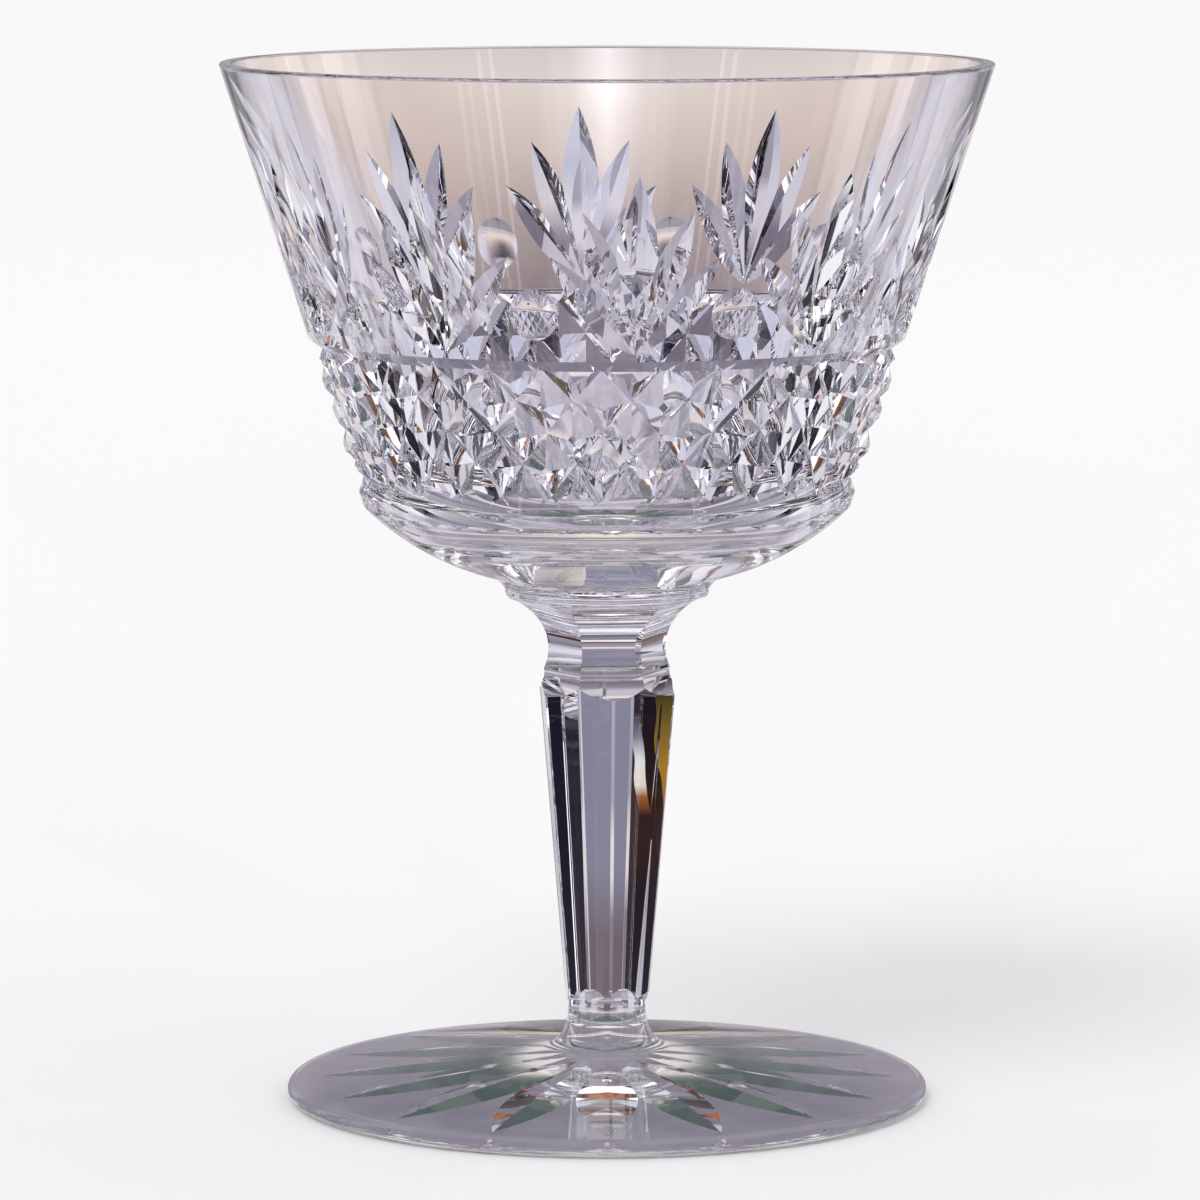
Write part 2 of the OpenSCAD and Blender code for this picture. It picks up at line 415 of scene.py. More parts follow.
@dataclass(frozen=True)
class GroundCrystal:
    """Lead crystal ground level with fine grit, as under the foot, and rubbed by years of tables.

    The eye gets a pale frost that holds the light, over which the clear cuts of the star stand out, with
    finer and coarser patches where it was rubbed.

    Attributes:
        colour: Colour of the frost.
        rubbed: Colour where it was rubbed clearer.
        through: How much light still goes through the frost.
        ior: Refractive index of full lead crystal.
        roughness_fresh: Roughness that the grit left.
        roughness_rubbed: Roughness where it was rubbed clearer.
        rub_mm: Size of the rubbed patches.
        rub_start: Value of the noise at which a patch begins.
        rub_full: Value of the noise at which it is fully rubbed.
        grit_mm: Size of the grit's marks, drawn coarser than the real 0.03 mm so that they show.
        grit_depth_mm: Depth of those marks.
    """

    colour: str = "#F4F1FA"
    rubbed: str = "#E2DEEC"
    through: float = 0.12
    ior: float = 1.55
    roughness_fresh: float = 0.55
    roughness_rubbed: float = 0.4
    rub_mm: float = 6.0
    rub_start: float = 0.4
    rub_full: float = 0.65
    grit_mm: float = 0.35
    grit_depth_mm: float = 0.01

    def material(self) -> bpy.types.Material:
        """Makes the material.

        Returns:
            The material.
        """
        made = bpy.data.materials.new("lead_crystal_ground_level")
        made.use_nodes = True
        tree = made.node_tree
        tree.nodes.clear()
        where = add_node(tree, "ShaderNodeTexCoord")
        rubs, grit = (
            add_node(
                tree,
                "ShaderNodeTexNoise",
                {"Scale": 1 / (size * MM), "Detail": 3.0},
                {"Vector": where.outputs["Object"]},
            )
            for size in (self.rub_mm, self.grit_mm)
        )
        frost = add_node(tree, "ShaderNodeValToRGB", links={"Fac": rubs.outputs["Fac"]})
        set_stops(frost.color_ramp, [(self.rub_start, self.colour), (self.rub_full, self.rubbed)])
        rough = add_node(
            tree,
            "ShaderNodeMapRange",
            {
                "From Min": self.rub_start,
                "From Max": self.rub_full,
                "To Min": self.roughness_fresh,
                "To Max": self.roughness_rubbed,
            },
            {"Value": rubs.outputs["Fac"]},
        )
        bump = add_node(
            tree,
            "ShaderNodeBump",
            {"Strength": 1.0, "Distance": self.grit_depth_mm * MM},
            {"Height": grit.outputs["Fac"]},
        )
        glass = add_node(
            tree,
            "ShaderNodeBsdfPrincipled",
            {"IOR": self.ior, "Transmission Weight": self.through},
            {
                "Base Color": frost.outputs["Color"],
                "Roughness": rough.outputs["Result"],
                "Normal": bump.outputs["Normal"],
            },
        )
        add_node(tree, "ShaderNodeOutputMaterial", links={"Surface": glass.outputs["BSDF"]})
        return made


@dataclass(frozen=True)
class FusedJoint:
    """The inside of a hot joint, where crystal meets crystal with no air between.

    The eye gets nothing at all: light passes from one gather to the next without a bend.
    """

    def material(self) -> bpy.types.Material:
        """Makes the material.

        Returns:
            The material.
        """
        made = bpy.data.materials.new("lead_crystal_fused_joint")
        made.use_nodes = True
        tree = made.node_tree
        tree.nodes.clear()
        clear = add_node(tree, "ShaderNodeBsdfTransparent", {"Color": (1, 1, 1, 1)})
        add_node(tree, "ShaderNodeOutputMaterial", links={"Surface": clear.outputs["BSDF"]})
        return made


@dataclass(frozen=True)
class Dresser:
    """Gives a gather its finish and its place in the frame.

    Attributes:
        crystal: The material of its surface.
        joint: The material of its fused ends.
        ground: The material of the level face that it stands on.
        slot: Name of a material slot; it is not used.
        crease: Angle from which an edge stays sharp, in degrees.
    """

    crystal: bpy.types.Material
    joint: bpy.types.Material
    ground: bpy.types.Material
    slot: str = "lead_crystal"
    crease: float = 9.0

    def dress(self, piece: bpy.types.Object, node: str, joints: list[float]) -> None:
        """Smooths, dresses and seats a piece.

        Args:
            piece: The piece.
            node: The solid that it stands for.
            joints: Heights of its fused ends.
        """
        mesh = piece.data
        mesh.materials.clear()
        levels = {height: self.joint for height in joints} | ({0.0: self.ground} if node == "foot" else {})
        for material in [self.crystal, *levels.values()]:
            if material.name not in mesh.materials:
                mesh.materials.append(material)
        for face in mesh.polygons:
            heights = [mesh.vertices[v].co.z / MM for v in face.vertices]
            level = [m for z, m in levels.items() if all(abs(h - z) < SAME_HEIGHT for h in heights)]
            face.material_index = mesh.materials.find(level[0].name) if level else 0
        mesh.shade_smooth()
        mesh.set_sharp_from_angle(angle=math.radians(self.crease))
        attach(piece, "root")
        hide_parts(node)
        log.info("%s: %d faces", piece.name, len(mesh.polygons))


# The four gathers of glass


@dataclass(frozen=True)
class Foot:
    """The round foot with its hub and the star under it.

    Attributes:
        diameter: Diameter of the foot.
        edge: Thickness at the rounded edge.
        rise: Rise of the top towards the hub, in degrees.
        hub_radius: Radius at which the hub leaves the top.
        hub_height: Height of the hub.
        joint_radius: Radius of the joint with the stem.
        rays: Number of rays of the star.
        ray_margin: Plain margin outside the rays.
        ray_start: Radius at which the rays begin.
        ray_depth: Depth of a ray in its middle.
        ray_mitre: Full angle of a ray, in degrees.
        star_turn: Turn of the star, in degrees.
    """

    diameter: float = 65.0
    edge: float = 1.8
    rise: float = 7.4
    hub_radius: float = 6.6
    hub_height: float = 8.9
    joint_radius: float = 3.95
    rays: int = 16
    ray_margin: float = 3.3
    ray_start: float = 4.0
    ray_depth: float = 1.35
    ray_mitre: float = 132.0
    star_turn: float = 17.5

    def outline(self) -> list[Point]:
        """Works out the foot's outline.

        Returns:
            Its points, from the axis underneath to the axis on top.
        """
        radius, rounding = self.diameter / 2, self.edge / 2
        flat = radius - rounding
        hub_foot = self.edge + (flat - self.hub_radius) * math.tan(math.radians(self.rise))
        hub = [
            (
                self.hub_radius + (self.joint_radius - self.hub_radius) * math.sin(a),
                self.hub_height + (hub_foot - self.hub_height) * math.cos(a),
            )
            for a in quarter_turn(steps=28)
        ]
        edge = arc((flat, rounding), rounding, -90, 90, steps=30)
        return refined([(0, 0), *edge, *hub, (0, self.hub_height)], longest=2.0)

    def build(self) -> bpy.types.Object:
        """Turns the foot and cuts the star into its underside.

        Returns:
            The foot.
        """
        length = self.diameter / 2 - self.ray_margin - self.ray_start
        wheel = MitreWheel(length * length / (8 * self.ray_depth), self.ray_mitre)
        rays = []
        for i in range(self.rays):
            place = (
                Matrix.Rotation(math.radians(self.star_turn + i * 360 / self.rays), 4, "Z")
                @ Matrix.Translation((self.ray_start + length / 2, 0, 0))
                @ Matrix.Rotation(math.radians(90), 4, "Y")
            )
            rays.append(wheel.cut(place, self.ray_depth, length))
        return carved(turned("foot_star_cut", self.outline()), [rays[0::2], rays[1::2]])


@dataclass(frozen=True)
class Stem:
    """The stem with its capital, fluted neck and six-sided shaft.

    Attributes:
        base: Height of its joint with the hub.
        length: Length from the hub to the wafer.
        joint_radius: Radius of the joint with the hub.
        shaft_low: Across flats at the shaft's lower end.
        shaft_high: Across flats at the shoulder.
        root: Height over which the lower end rounds out.
        land: Depth of the polished land on each edge.
        neck_flats: Across flats of the neck.
        flute_radius: Radius of the wheel that cuts the flutes.
        flute_margin: Plain margin over the flutes.
        shoulder_radius: Radius of the wheel that cuts the shoulder.
        shoulder_flats: Across flats at the shoulder cuts.
        shoulder_drop: Drop from the neck to the shoulder cuts.
        capital_radius: Radius of the capital.
        capital_height: Height of the capital's flare.
        capital_rounding: Rounding at its edge.
        sides: Sides of the shaft and the neck.
        spare: How much thicker than the shoulder cuts the neck is turned.
        neck_start: Height over the shoulder cuts at which the turned neck begins.
        run_on: How far the panels run on into the cuts over them.
        run_out: How far they run out under the joint.
    """

    base: float = 8.9
    length: float = 42.9
    joint_radius: float = 3.95
    shaft_low: float = 8.2
    shaft_high: float = 13.1
    root: float = 1.9
    land: float = 0.1
    neck_flats: float = 10.3
    flute_radius: float = 5.5
    flute_margin: float = 0.4
    shoulder_radius: float = 2.0
    shoulder_flats: float = 11.0
    shoulder_drop: float = 2.45
    capital_radius: float = 10.3
    capital_height: float = 3.9
    capital_rounding: float = 0.9
    sides: int = 6
    spare: float = 0.2
    neck_start: float = 0.3
    run_on: float = 0.5
    run_out: float = 2.0

    @property
    def neck(self) -> float:
        """Height of the narrowest place of the neck over the joint."""
        return self.length - self.flute_margin - self.flute_radius

    @property
    def shoulder(self) -> float:
        """Height of the middle of the shoulder cuts over the joint."""
        return self.neck - self.shoulder_drop

    @property
    def slope(self) -> float:
        """Lean of a shaft panel, as run over rise."""
        return (self.shaft_high - self.shaft_low) / 2 / (self.shoulder - self.shoulder_radius - self.root)

    def panel(self, height: float) -> float:
        """Gives the distance of a shaft panel from the axis at a height."""
        return self.shaft_low / 2 + (height - self.root) * self.slope

    def outline(self) -> list[Point]:
        """Works out the outline of the stem before it is cut.

        Returns:
            Its points, from the axis at the hub to the axis at the wafer.
        """
        corner = 1 / math.cos(math.pi / self.sides)
        low = self.panel(self.root) * corner - self.land
        top = self.shoulder - self.shoulder_radius + self.run_on
        neck = self.shoulder_flats / 2 * corner + self.spare
        root = [
            (self.joint_radius + (low - self.joint_radius) * (1 - math.cos(a)), self.root * math.sin(a))
            for a in quarter_turn(steps=20)
        ]
        edge = (self.capital_radius - self.capital_rounding, self.length)
        capital = arc(edge, self.capital_rounding, -45, 0, steps=12)
        points = [
            (0, 0),
            *root,
            (self.panel(top) * corner - self.land, top),
            (neck, self.shoulder + self.neck_start),
            (neck, self.length - self.capital_height),
            *capital,
            (0, self.length),
        ]
        return [(r, z + self.base) for r, z in refined(points, longest=2.5)]

    def cross_cut(self, turn: float, wheel: float, flats: float, height: float) -> bpy.types.Object:
        """Makes a level wheel cut across the stem.

        Args:
            turn: Turn about the axis, in radians.
            wheel: Radius of the wheel.
            flats: Across flats that the cut leaves.
            height: Height of its deepest line over the joint.

        Returns:
            The body to take away.
        """
        place = (
            Matrix.Rotation(turn, 4, "Z")
            @ Matrix.Translation((flats / 2 + wheel, 0, self.base + height))
            @ Matrix.Rotation(math.radians(90), 4, "X")
        )
        half = self.capital_radius
        outline = [(0, -half), (wheel, -half), (wheel, half), (0, half)]
        return turned("cross_cut", outline, sides=240, place=place)

    def panel_cut(self, turn: float) -> bpy.types.Object:
        """Makes the body that is ground away to leave one flat panel.

        Args:
            turn: Turn of the panel about the axis, in radians.

        Returns:
            The body to take away.
        """
        place = (
            Matrix.Rotation(turn, 4, "Z")
            @ Matrix.Translation((self.panel(0), 0, self.base))
            @ Matrix.Rotation(math.atan(self.slope), 4, "Y")
        )
        wide = self.shaft_high
        ends = [
            [place @ Vector((x, y, z)) for x, y in ((0, -wide), (wide, -wide), (wide, wide), (0, wide))]
            for z in (-self.run_out, self.shoulder + self.run_on)
        ]
        return swept("panel_cut", ends)

    def build(self) -> bpy.types.Object:
        """Turns the stem, grinds its panels and cuts its flutes and shoulder.

        Returns:
            The stem.
        """
        step = 2 * math.pi / self.sides
        turns = [i * step for i in range(self.sides)]
        panels = [self.panel_cut(t) for t in turns]
        between = [t + step / 2 for t in turns]
        flutes = [self.cross_cut(t, self.flute_radius, self.neck_flats, self.neck) for t in between]
        shoulders = [
            self.cross_cut(t, self.shoulder_radius, self.shoulder_flats, self.shoulder) for t in between
        ]
        return carved(turned("stem_faceted", self.outline()), [panels, flutes, shoulders])


@dataclass(frozen=True)
class Wafer:
    """The thin flared disc that joins stem and bowl.

    Attributes:
        base: Height of its joint with the stem.
        height: Thickness.
        low_radius: Radius of the joint with the stem.
        high_radius: Radius of the joint with the bowl.
        flare: Power that bends its side outwards.
    """

    base: float = 51.8
    height: float = 1.4
    low_radius: float = 10.3
    high_radius: float = 11.4
    flare: float = 1.6

    def build(self) -> bpy.types.Object:
        """Turns the wafer.

        Returns:
            The wafer.
        """
        steps, widening = 16, self.high_radius - self.low_radius
        side = [
            (self.low_radius + widening * (i / steps) ** self.flare, self.height * i / steps)
            for i in range(steps + 1)
        ]
        outline = [(0, 0), *side, (0, self.height)]
        return turned("wafer_joining", [(r, z + self.base) for r, z in refined(outline, longest=3.0)])


@dataclass(frozen=True)
class Bowl:
    """The flared bowl with its diamond band, fans and round cuts.

    Attributes:
        base: Height of its joint with the wafer.
        height: Height of the bowl.
        joint_radius: Radius of the joint.
        lip_diameter: Diameter of the lip.
        lip: Thickness of the lip, which is ground level and polished.
        lip_rounding: Rounding of the lip's two edges.
        wall_foot_diameter: Diameter where the straight wall begins.
        wall_foot: Height where it begins.
        wall_foot_thick: Level thickness there.
        base_rounding: Radius of the rounded underside.
        floor: Thickness under the floor.
        floor_corner: Radius of the inner corner.
        diamonds: Number of diamonds around.
        band_low: Height of the lower ring cut.
        diamond_height: Height of one diamond.
        diamond_depth: Depth of the crossed cuts.
        diamond_mitre: Full angle of the crossed cuts, in degrees.
        ring_depth: Depth of the ring cuts.
        ring_mitre: Full angle of the ring cuts, in degrees.
        fans: Number of fans.
        fan_side: Blades on each side of the upright one.
        fan_step: Angle between blades, in degrees.
        blade_length: Length of the upright blade.
        blade_less: How much shorter each next blade is.
        fan_gap: Gap from the ring cut to the point that a fan spreads from.
        blade_start: Gap from that point to the blades.
        blade_wheel: The wheel that cuts the blades.
        dot_diameter: Diameter of the round cuts.
        dot_wheel: Radius of the wheel that cuts them.
        dot_rise: Height of their middles over the fans' points.
        ring_proud: How far the ring cuts are drawn out of the glass.
        cross_proud: How far the crossed cuts are drawn out of the glass.
        dot_over: How far the round cuts are drawn out of the glass, in degrees of their wheel.
    """

    base: float = 53.2
    height: float = 51.8
    joint_radius: float = 11.4
    lip_diameter: float = 77.6
    lip: float = 1.3
    lip_rounding: float = 0.2
    wall_foot_diameter: float = 49.1
    wall_foot: float = 7.3
    wall_foot_thick: float = 4.6
    base_rounding: float = 28.0
    floor: float = 5.2
    floor_corner: float = 7.0
    diamonds: int = 30
    band_low: float = 10.1
    diamond_height: float = 6.4
    diamond_depth: float = 1.5
    diamond_mitre: float = 104.0
    ring_depth: float = 1.05
    ring_mitre: float = 108.0
    fans: int = 10
    fan_side: int = 2
    fan_step: float = 19.0
    blade_length: float = 18.6
    blade_less: float = 2.8
    fan_gap: float = 1.6
    blade_start: float = 0.4
    blade_wheel: MitreWheel = MitreWheel(31.0, 114.0)
    dot_diameter: float = 5.4
    dot_wheel: float = 8.0
    dot_rise: float = 4.4
    ring_proud: float = 0.6
    cross_proud: float = 0.12
    dot_over: float = 5.0

    @property
    def lip_foot(self) -> float:
        """Height at which the wall runs into the lip's rounding."""
        return self.height - self.lip_rounding

    @property
    def slope(self) -> float:
        """Flare of the outer wall, as run over rise."""
        return (self.lip_diameter - self.wall_foot_diameter) / 2 / (self.lip_foot - self.wall_foot)

    @property
    def band_high(self) -> float:
        """Height of the upper ring cut."""
        return self.band_low + 2 * self.diamond_height

    @property
    def fan_foot(self) -> float:
        """Height of the points that the fans spread from."""
        return self.band_high + self.fan_gap

    def wall(self, height: float) -> float:
        """Gives the radius of the outer wall at a height."""
        return self.wall_foot_diameter / 2 + (height - self.wall_foot) * self.slope

    def on_wall(self, turn: float, height: float, lean: float = 0.0) -> Matrix:
        """Gives a place on the wall, +X out of the glass and +Z up the wall.

        Args:
            turn: Turn from the front, in degrees.
            height: Height over the joint.
            lean: Lean of +Z from upright, in degrees.

        Returns:
            The place.
        """
        return (
            Matrix.Rotation(math.radians(turn - 90), 4, "Z")
            @ Matrix.Translation((self.wall(height), 0, self.base + height))
            @ Matrix.Rotation(math.atan(self.slope), 4, "Y")
            @ Matrix.Rotation(math.radians(-lean), 4, "X")
        )

    def outline(self) -> list[Point]:
        """Works out the bowl's outline before it is cut.

        Returns:
            Its points, from the axis at the joint, round the lip, to the axis at the floor.
        """
        radius, rounding = self.lip_diameter / 2, self.lip_rounding
        foot = self.wall_foot_diameter / 2
        chord = Vector((foot - self.joint_radius, self.wall_foot))
        rise = math.sqrt(self.base_rounding**2 - chord.length_squared / 4)
        across = Vector((-chord.y, chord.x)).normalized()
        centre = Vector((self.joint_radius, 0)) + chord / 2 + rise * across
        bearings = [
            math.degrees(math.atan2(z - centre.y, r - centre.x))
            for r, z in ((self.joint_radius, 0), (foot, self.wall_foot))
        ]
        inner_foot = foot - self.wall_foot_thick
        inner = (radius - self.lip - inner_foot) / (self.lip_foot - self.wall_foot)
        corner_z = self.floor + self.floor_corner
        corner_r = inner_foot + inner * (corner_z - self.wall_foot) - self.floor_corner * math.hypot(1, inner)
        points = [
            (0, 0),
            *arc((centre.x, centre.y), self.base_rounding, *bearings, steps=26),
            *arc((radius - rounding, self.lip_foot), rounding, 0, 90, steps=8),
            *arc((radius - self.lip + rounding, self.lip_foot), rounding, 90, 180, steps=8),
            *arc((corner_r, corner_z), self.floor_corner, -math.degrees(math.atan(inner)), -90, steps=26),
            (0, self.floor),
        ]
        return [(r, z + self.base) for r, z in refined(points, longest=1.6)]

    def ring_cut(self, height: float) -> bpy.types.Object:
        """Makes a ring cut at an edge of the diamond band.

        Args:
            height: Its height over the joint.

        Returns:
            The body to take away.
        """
        proud = self.ring_proud
        half = (self.ring_depth + proud) * math.tan(math.radians(self.ring_mitre / 2))
        # At a turn of 90 degrees from the front the wall's section lies in the plane of X and Z.
        place = self.on_wall(90, height)
        section = ((-self.ring_depth, 0, 0), (proud, 0, -half), (proud, 0, half))
        corners = [place @ Vector(p) for p in section]
        return turned("ring_cut", [(p.x, p.z) for p in corners], closed=True)

    def cross_cut(self, turn: float, way: int, steps: int = 22) -> bpy.types.Object:
        """Makes one of the crossed cuts of the diamond band.

        Args:
            turn: Turn from the front at which it crosses the middle of the band, in degrees.
            way: Which way it leans, 1 or -1.
            steps: How many steps it has.

        Returns:
            The body, which follows the wall at one depth.
        """
        proud = self.cross_proud
        half = (self.diamond_depth + proud) * math.tan(math.radians(self.diamond_mitre / 2))
        middle = self.band_low + self.diamond_height
        places = [
            self.on_wall(turn + way * t * 360 / self.diamonds, middle + t * self.diamond_height)
            for t in (2 * i / steps - 1 for i in range(steps + 1))
        ]
        sections = []
        for i, place in enumerate(places):
            after, before = places[min(i + 1, steps)], places[max(i - 1, 0)]
            along = (after.translation - before.translation).normalized()
            out = place.to_3x3() @ Vector((1, 0, 0))
            side = along.cross(out).normalized()
            point = place.translation
            sections.append(
                [
                    point - out * self.diamond_depth,
                    point + out * proud - side * half,
                    point + out * proud + side * half,
                ]
            )
        return swept("cross_cut", sections)

    def blades(self, number: int) -> list[bpy.types.Object]:
        """Makes the blades that have the same place in every fan.

        Args:
            number: Their place, counted from the upright blade to both sides.

        Returns:
            The bodies to take away.
        """
        made = []
        for way in (1, -1) if number else (1,):
            lean = way * number * self.fan_step
            length = self.blade_length - number * self.blade_less
            out = self.blade_start + length / 2
            height = self.fan_foot + out * math.cos(math.radians(lean)) * math.cos(math.atan(self.slope))
            bend = math.sin(math.radians(lean)) ** 2 * math.cos(math.atan(self.slope)) / self.wall(height)
            aside = math.degrees(out * math.sin(math.radians(lean)) / self.wall(height))
            depth = self.blade_wheel.depth(length, bend)
            for i in range(self.fans):
                place = self.on_wall(i * 360 / self.fans + aside, height, lean)
                made.append(self.blade_wheel.cut(place, depth, length))
        return made

    def dots(self) -> list[bpy.types.Object]:
        """Makes the round cuts between the feet of the fans.

        Returns:
            The bodies to take away.
        """
        depth = self.dot_diameter**2 / 8 / self.dot_wheel
        reach = math.degrees(math.asin(self.dot_diameter / 2 / self.dot_wheel)) + self.dot_over
        cap = arc((0, self.dot_wheel - depth), self.dot_wheel, -90, -90 + reach, steps=16)
        cap[0] = (0.0, cap[0][1])
        outline = [*cap, (0, cap[-1][1])]
        made = []
        for i in range(self.fans):
            place = self.on_wall((i + 0.5) * 360 / self.fans, self.fan_foot + self.dot_rise)
            outwards = place @ Matrix.Rotation(math.radians(90), 4, "Y")
            made.append(turned("dot", outline, sides=72, place=outwards))
        return made

    def build(self) -> bpy.types.Object:
        """Turns the bowl and cuts its band, fans and round cuts.

        Returns:
            The bowl.
        """
        turns = [(i + 0.5) * 360 / self.diamonds for i in range(self.diamonds)]
        passes = [
            [self.ring_cut(self.band_low), self.ring_cut(self.band_high)],
            [self.cross_cut(t, 1) for t in turns],
            [self.cross_cut(t, -1) for t in turns],
            *[self.blades(k) for k in range(self.fan_side + 1)],
            self.dots(),
        ]
        return carved(turned("bowl_cut", self.outline()), passes)


# Studio


Stops = tuple[tuple[float, str], ...]


@dataclass(frozen=True)
class Paper:
    """The colours of a card, which comes out over the floor, stands up and goes on over the glass. The card
    glows with them and only the glass sees it, so they are painted light, shade, highlights and reflections
    in the glass.

    Attributes:
        floor: Distances from the axis with the colour that the glass sees lying there, in place of the pale
            floor.
        wall: Heights with the colour that stands there.
        roof: Distances from the axis with the colour that hangs over the glass there.
    """

    floor: Stops
    wall: Stops
    roof: Stops


class Tone(Enum):
    """The papers that stand round the glass. They glow, and their colours paint the light and shade,
    highlights and reflections that the glass shows.
    """

    SHADE = Paper(
        (
            # A cream ring round the foot paints the hub's highlights.
            (34, "#FFF6E8"),
            (40, "#FFF6E8"),
            (47, "#8F8890"),
            # Dark rings on both sides of a cream band paint the cream highlights and the dark crescents in
            # the bowl's base.
            (90, "#5E545C"),
            (112, "#3A3238"),
            (125, "#FFF6E4"),
            (300, "#FFF4E0"),
            (330, "#4A4048"),
            (430, "#6E6468"),
            (500, "#8A7D81"),
            (585, "#BBABA4"),
            (670, "#DFCFC2"),
            (790, "#F9EDE0"),
            (950, "#F8EEE2"),
            (1500, "#D3CACB"),
        ),
        (
            (0, "#A8A2AB"),
            (260, "#A39DA7"),
            (520, "#A39CA6"),
            (860, "#7A7482"),
            (1150, "#5E5866"),
            (1430, "#757080"),
        ),
        (
            (0, "#FFFFFF"),
            (660, "#F4F5FC"),
            # Dark bands with an orange stripe paint the star's petals and their orange glints.
            (780, "#8A8088"),
            (890, "#2E2320"),
            (960, "#C4702E"),
            (1010, "#5A3A26"),
            (1100, "#2A2224"),
            (1400, "#8A8088"),
            (1480, "#A89C9C"),
            (1560, "#5E4A44"),
            (1650, "#8E807E"),
            (1850, "#9A8C8C"),
            (1940, "#6E5E5C"),
            (2060, "#EFE8E2"),
        ),
    )
    WINDOW = replace(
        SHADE,
        wall=(
            (0, "#A8A2AB"),
            (240, "#8E8894"),
            # A dark band darkens the neck, and the white band over it paints the glints in the bowl's base.
            (300, "#4E4650"),
            (385, "#5A525E"),
            (400, "#FFFFFF"),
            (560, "#FFF6E6"),
            (580, "#8F8A98"),
            (860, "#7A7482"),
            (1150, "#5E5866"),
            (1430, "#757080"),
        ),
    )
    TAUPE = replace(
        SHADE,
        floor=(
            # A cream ring round the foot paints the hub's highlights.
            (34, "#FFF6E8"),
            (40, "#FFF6E8"),
            (47, "#C4BFC8"),
            # Darker rings and a paler one between them let the base's painted highlights fade out to the
            # sides.
            (90, "#8A828A"),
            (112, "#6A6068"),
            (240, "#C0B8BE"),
            (330, "#8A8088"),
            (420, "#B5AAA8"),
            (510, "#D8C8BE"),
            (560, "#E4D1C4"),
            (650, "#F9E6D7"),
            (950, "#FBEADB"),
            (1500, "#D3CACB"),
        ),
    )
    PALE = replace(
        SHADE,
        floor=(
            # Pale near the foot: a painted highlight for the hub.
            (34, "#F4EEE8"),
            (90, "#C9C4CC"),
            (240, "#D0CBD1"),
            (340, "#E2DEE4"),
            (560, "#E6E1E4"),
            (1500, "#D3CACB"),
        ),
    )
    DUSK = Paper(
        (
            # Pale near the foot: a painted highlight for the hub.
            (34, "#F4ECE2"),
            (60, "#C9C4CC"),
            (90, "#C9C4CC"),
            (130, "#7A727A"),
            (280, "#857D88"),
            (380, "#E6E0E2"),
            (500, "#E6E0E2"),
            (620, "#A9A4AE"),
            (1200, "#B2ADB8"),
        ),
        ((0, "#A9A4AE"), (260, "#BBB6C0"), (700, "#A29EAB"), (1430, "#8E8894")),
        ((0, "#FFFFFF"), (700, "#F4F5FC"), (1000, "#5A4A44"), (1300, "#8A8088"), (1600, "#EFE8E2")),
    )
    LAVENDER = Paper(
        (
            # Pale near the foot: a painted highlight for the hub.
            (34, "#F4ECE2"),
            (60, "#D8D4D6"),
            (90, "#D4D0D6"),
            (160, "#E3E1E9"),
            (600, "#E3E1E9"),
            (1200, "#CFCFDE"),
        ),
        ((0, "#CFCFDE"), (260, "#DDE0EE"), (700, "#CDD0E2"), (1100, "#B4B4C4"), (1430, "#8E8C9C")),
        ((0, "#C9C9D6"), (390, "#DDE0EE"), (800, "#DDE0EE"), (1050, "#8A8694"), (1900, "#7A7684")),
    )
    SLATE = Paper(
        ((34, "#9A97A4"), (90, "#A9A6B2"), (160, "#E3E1E9"), (400, "#DBD9E2"), (700, "#BDB6BA")),
        ((0, "#7C7888"), (260, "#8B8798"), (700, "#9C99AA"), (1430, "#807C8C")),
        (
            (0, "#FFFFFF"),
            (750, "#F4F5FC"),
            # A dark band with an orange stripe paints the star's petals and their orange glints.
            (950, "#4A403C"),
            (1150, "#C4702E"),
            (1250, "#3A2E2C"),
            (1900, "#5A5050"),
        ),
    )
    UMBER = replace(
        SLATE,
        floor=((34, "#9A97A4"), (90, "#A9A6B2"), (160, "#E3E1E9"), (400, "#DBD9E2"), (700, "#DDD4D2")),
        wall=((0, "#4A2E1B"), (340, "#6B4A30"), (860, "#5B3D29"), (1430, "#2A1B14")),
    )
    BLACK = replace(
        SLATE,
        floor=(
            (34, "#8F8C99"),
            (90, "#8A8794"),
            (115, "#17121B"),
            (320, "#17121B"),
            (430, "#B9B4BC"),
            (700, "#DDD4D2"),
        ),
        wall=((0, "#120D16"), (1430, "#1A141F")),
        roof=((0, "#FFFFFF"), (800, "#F4F5FC"), (1200, "#8A8694"), (1900, "#3A3642")),
    )
    NIGHT = replace(
        SLATE,
        floor=(
            (34, "#8F8A95"),
            (90, "#5A5560"),
            (200, "#17121B"),
            (320, "#17121B"),
            (430, "#B9B4BC"),
            (700, "#DDD4D2"),
        ),
        wall=((0, "#100D1A"), (1430, "#1E1A2C")),
        roof=((0, "#FFFFFF"), (800, "#F4F5FC"), (1200, "#9A96A4"), (1900, "#3A3642")),
    )
    WHITE = Paper(
        ((34, "#8F8C99"), (90, "#B9B6C2"), (120, "#F6F6FA"), (600, "#FFFFFF"), (1200, "#DDE0EE")),
        ((0, "#DDE0EE"), (260, "#F3F5FC"), (1430, "#FFFFFF")),
        ((0, "#FFFFFF"),),
    )
    MAUVE = Paper(
        # Pale near the foot, which paints the highlights on the foot's front rim.
        ((34, "#F4F4FA"), (90, "#E4E2EA"), (220, "#8F8890"), (400, "#8F8890"), (700, "#DDD4D2")),
        ((0, "#6E626C"), (520, "#5C525E"), (1430, "#6F6672")),
        ((0, "#FFFFFF"), (260, "#F4F5FC"), (560, "#C9C5CF")),
    )
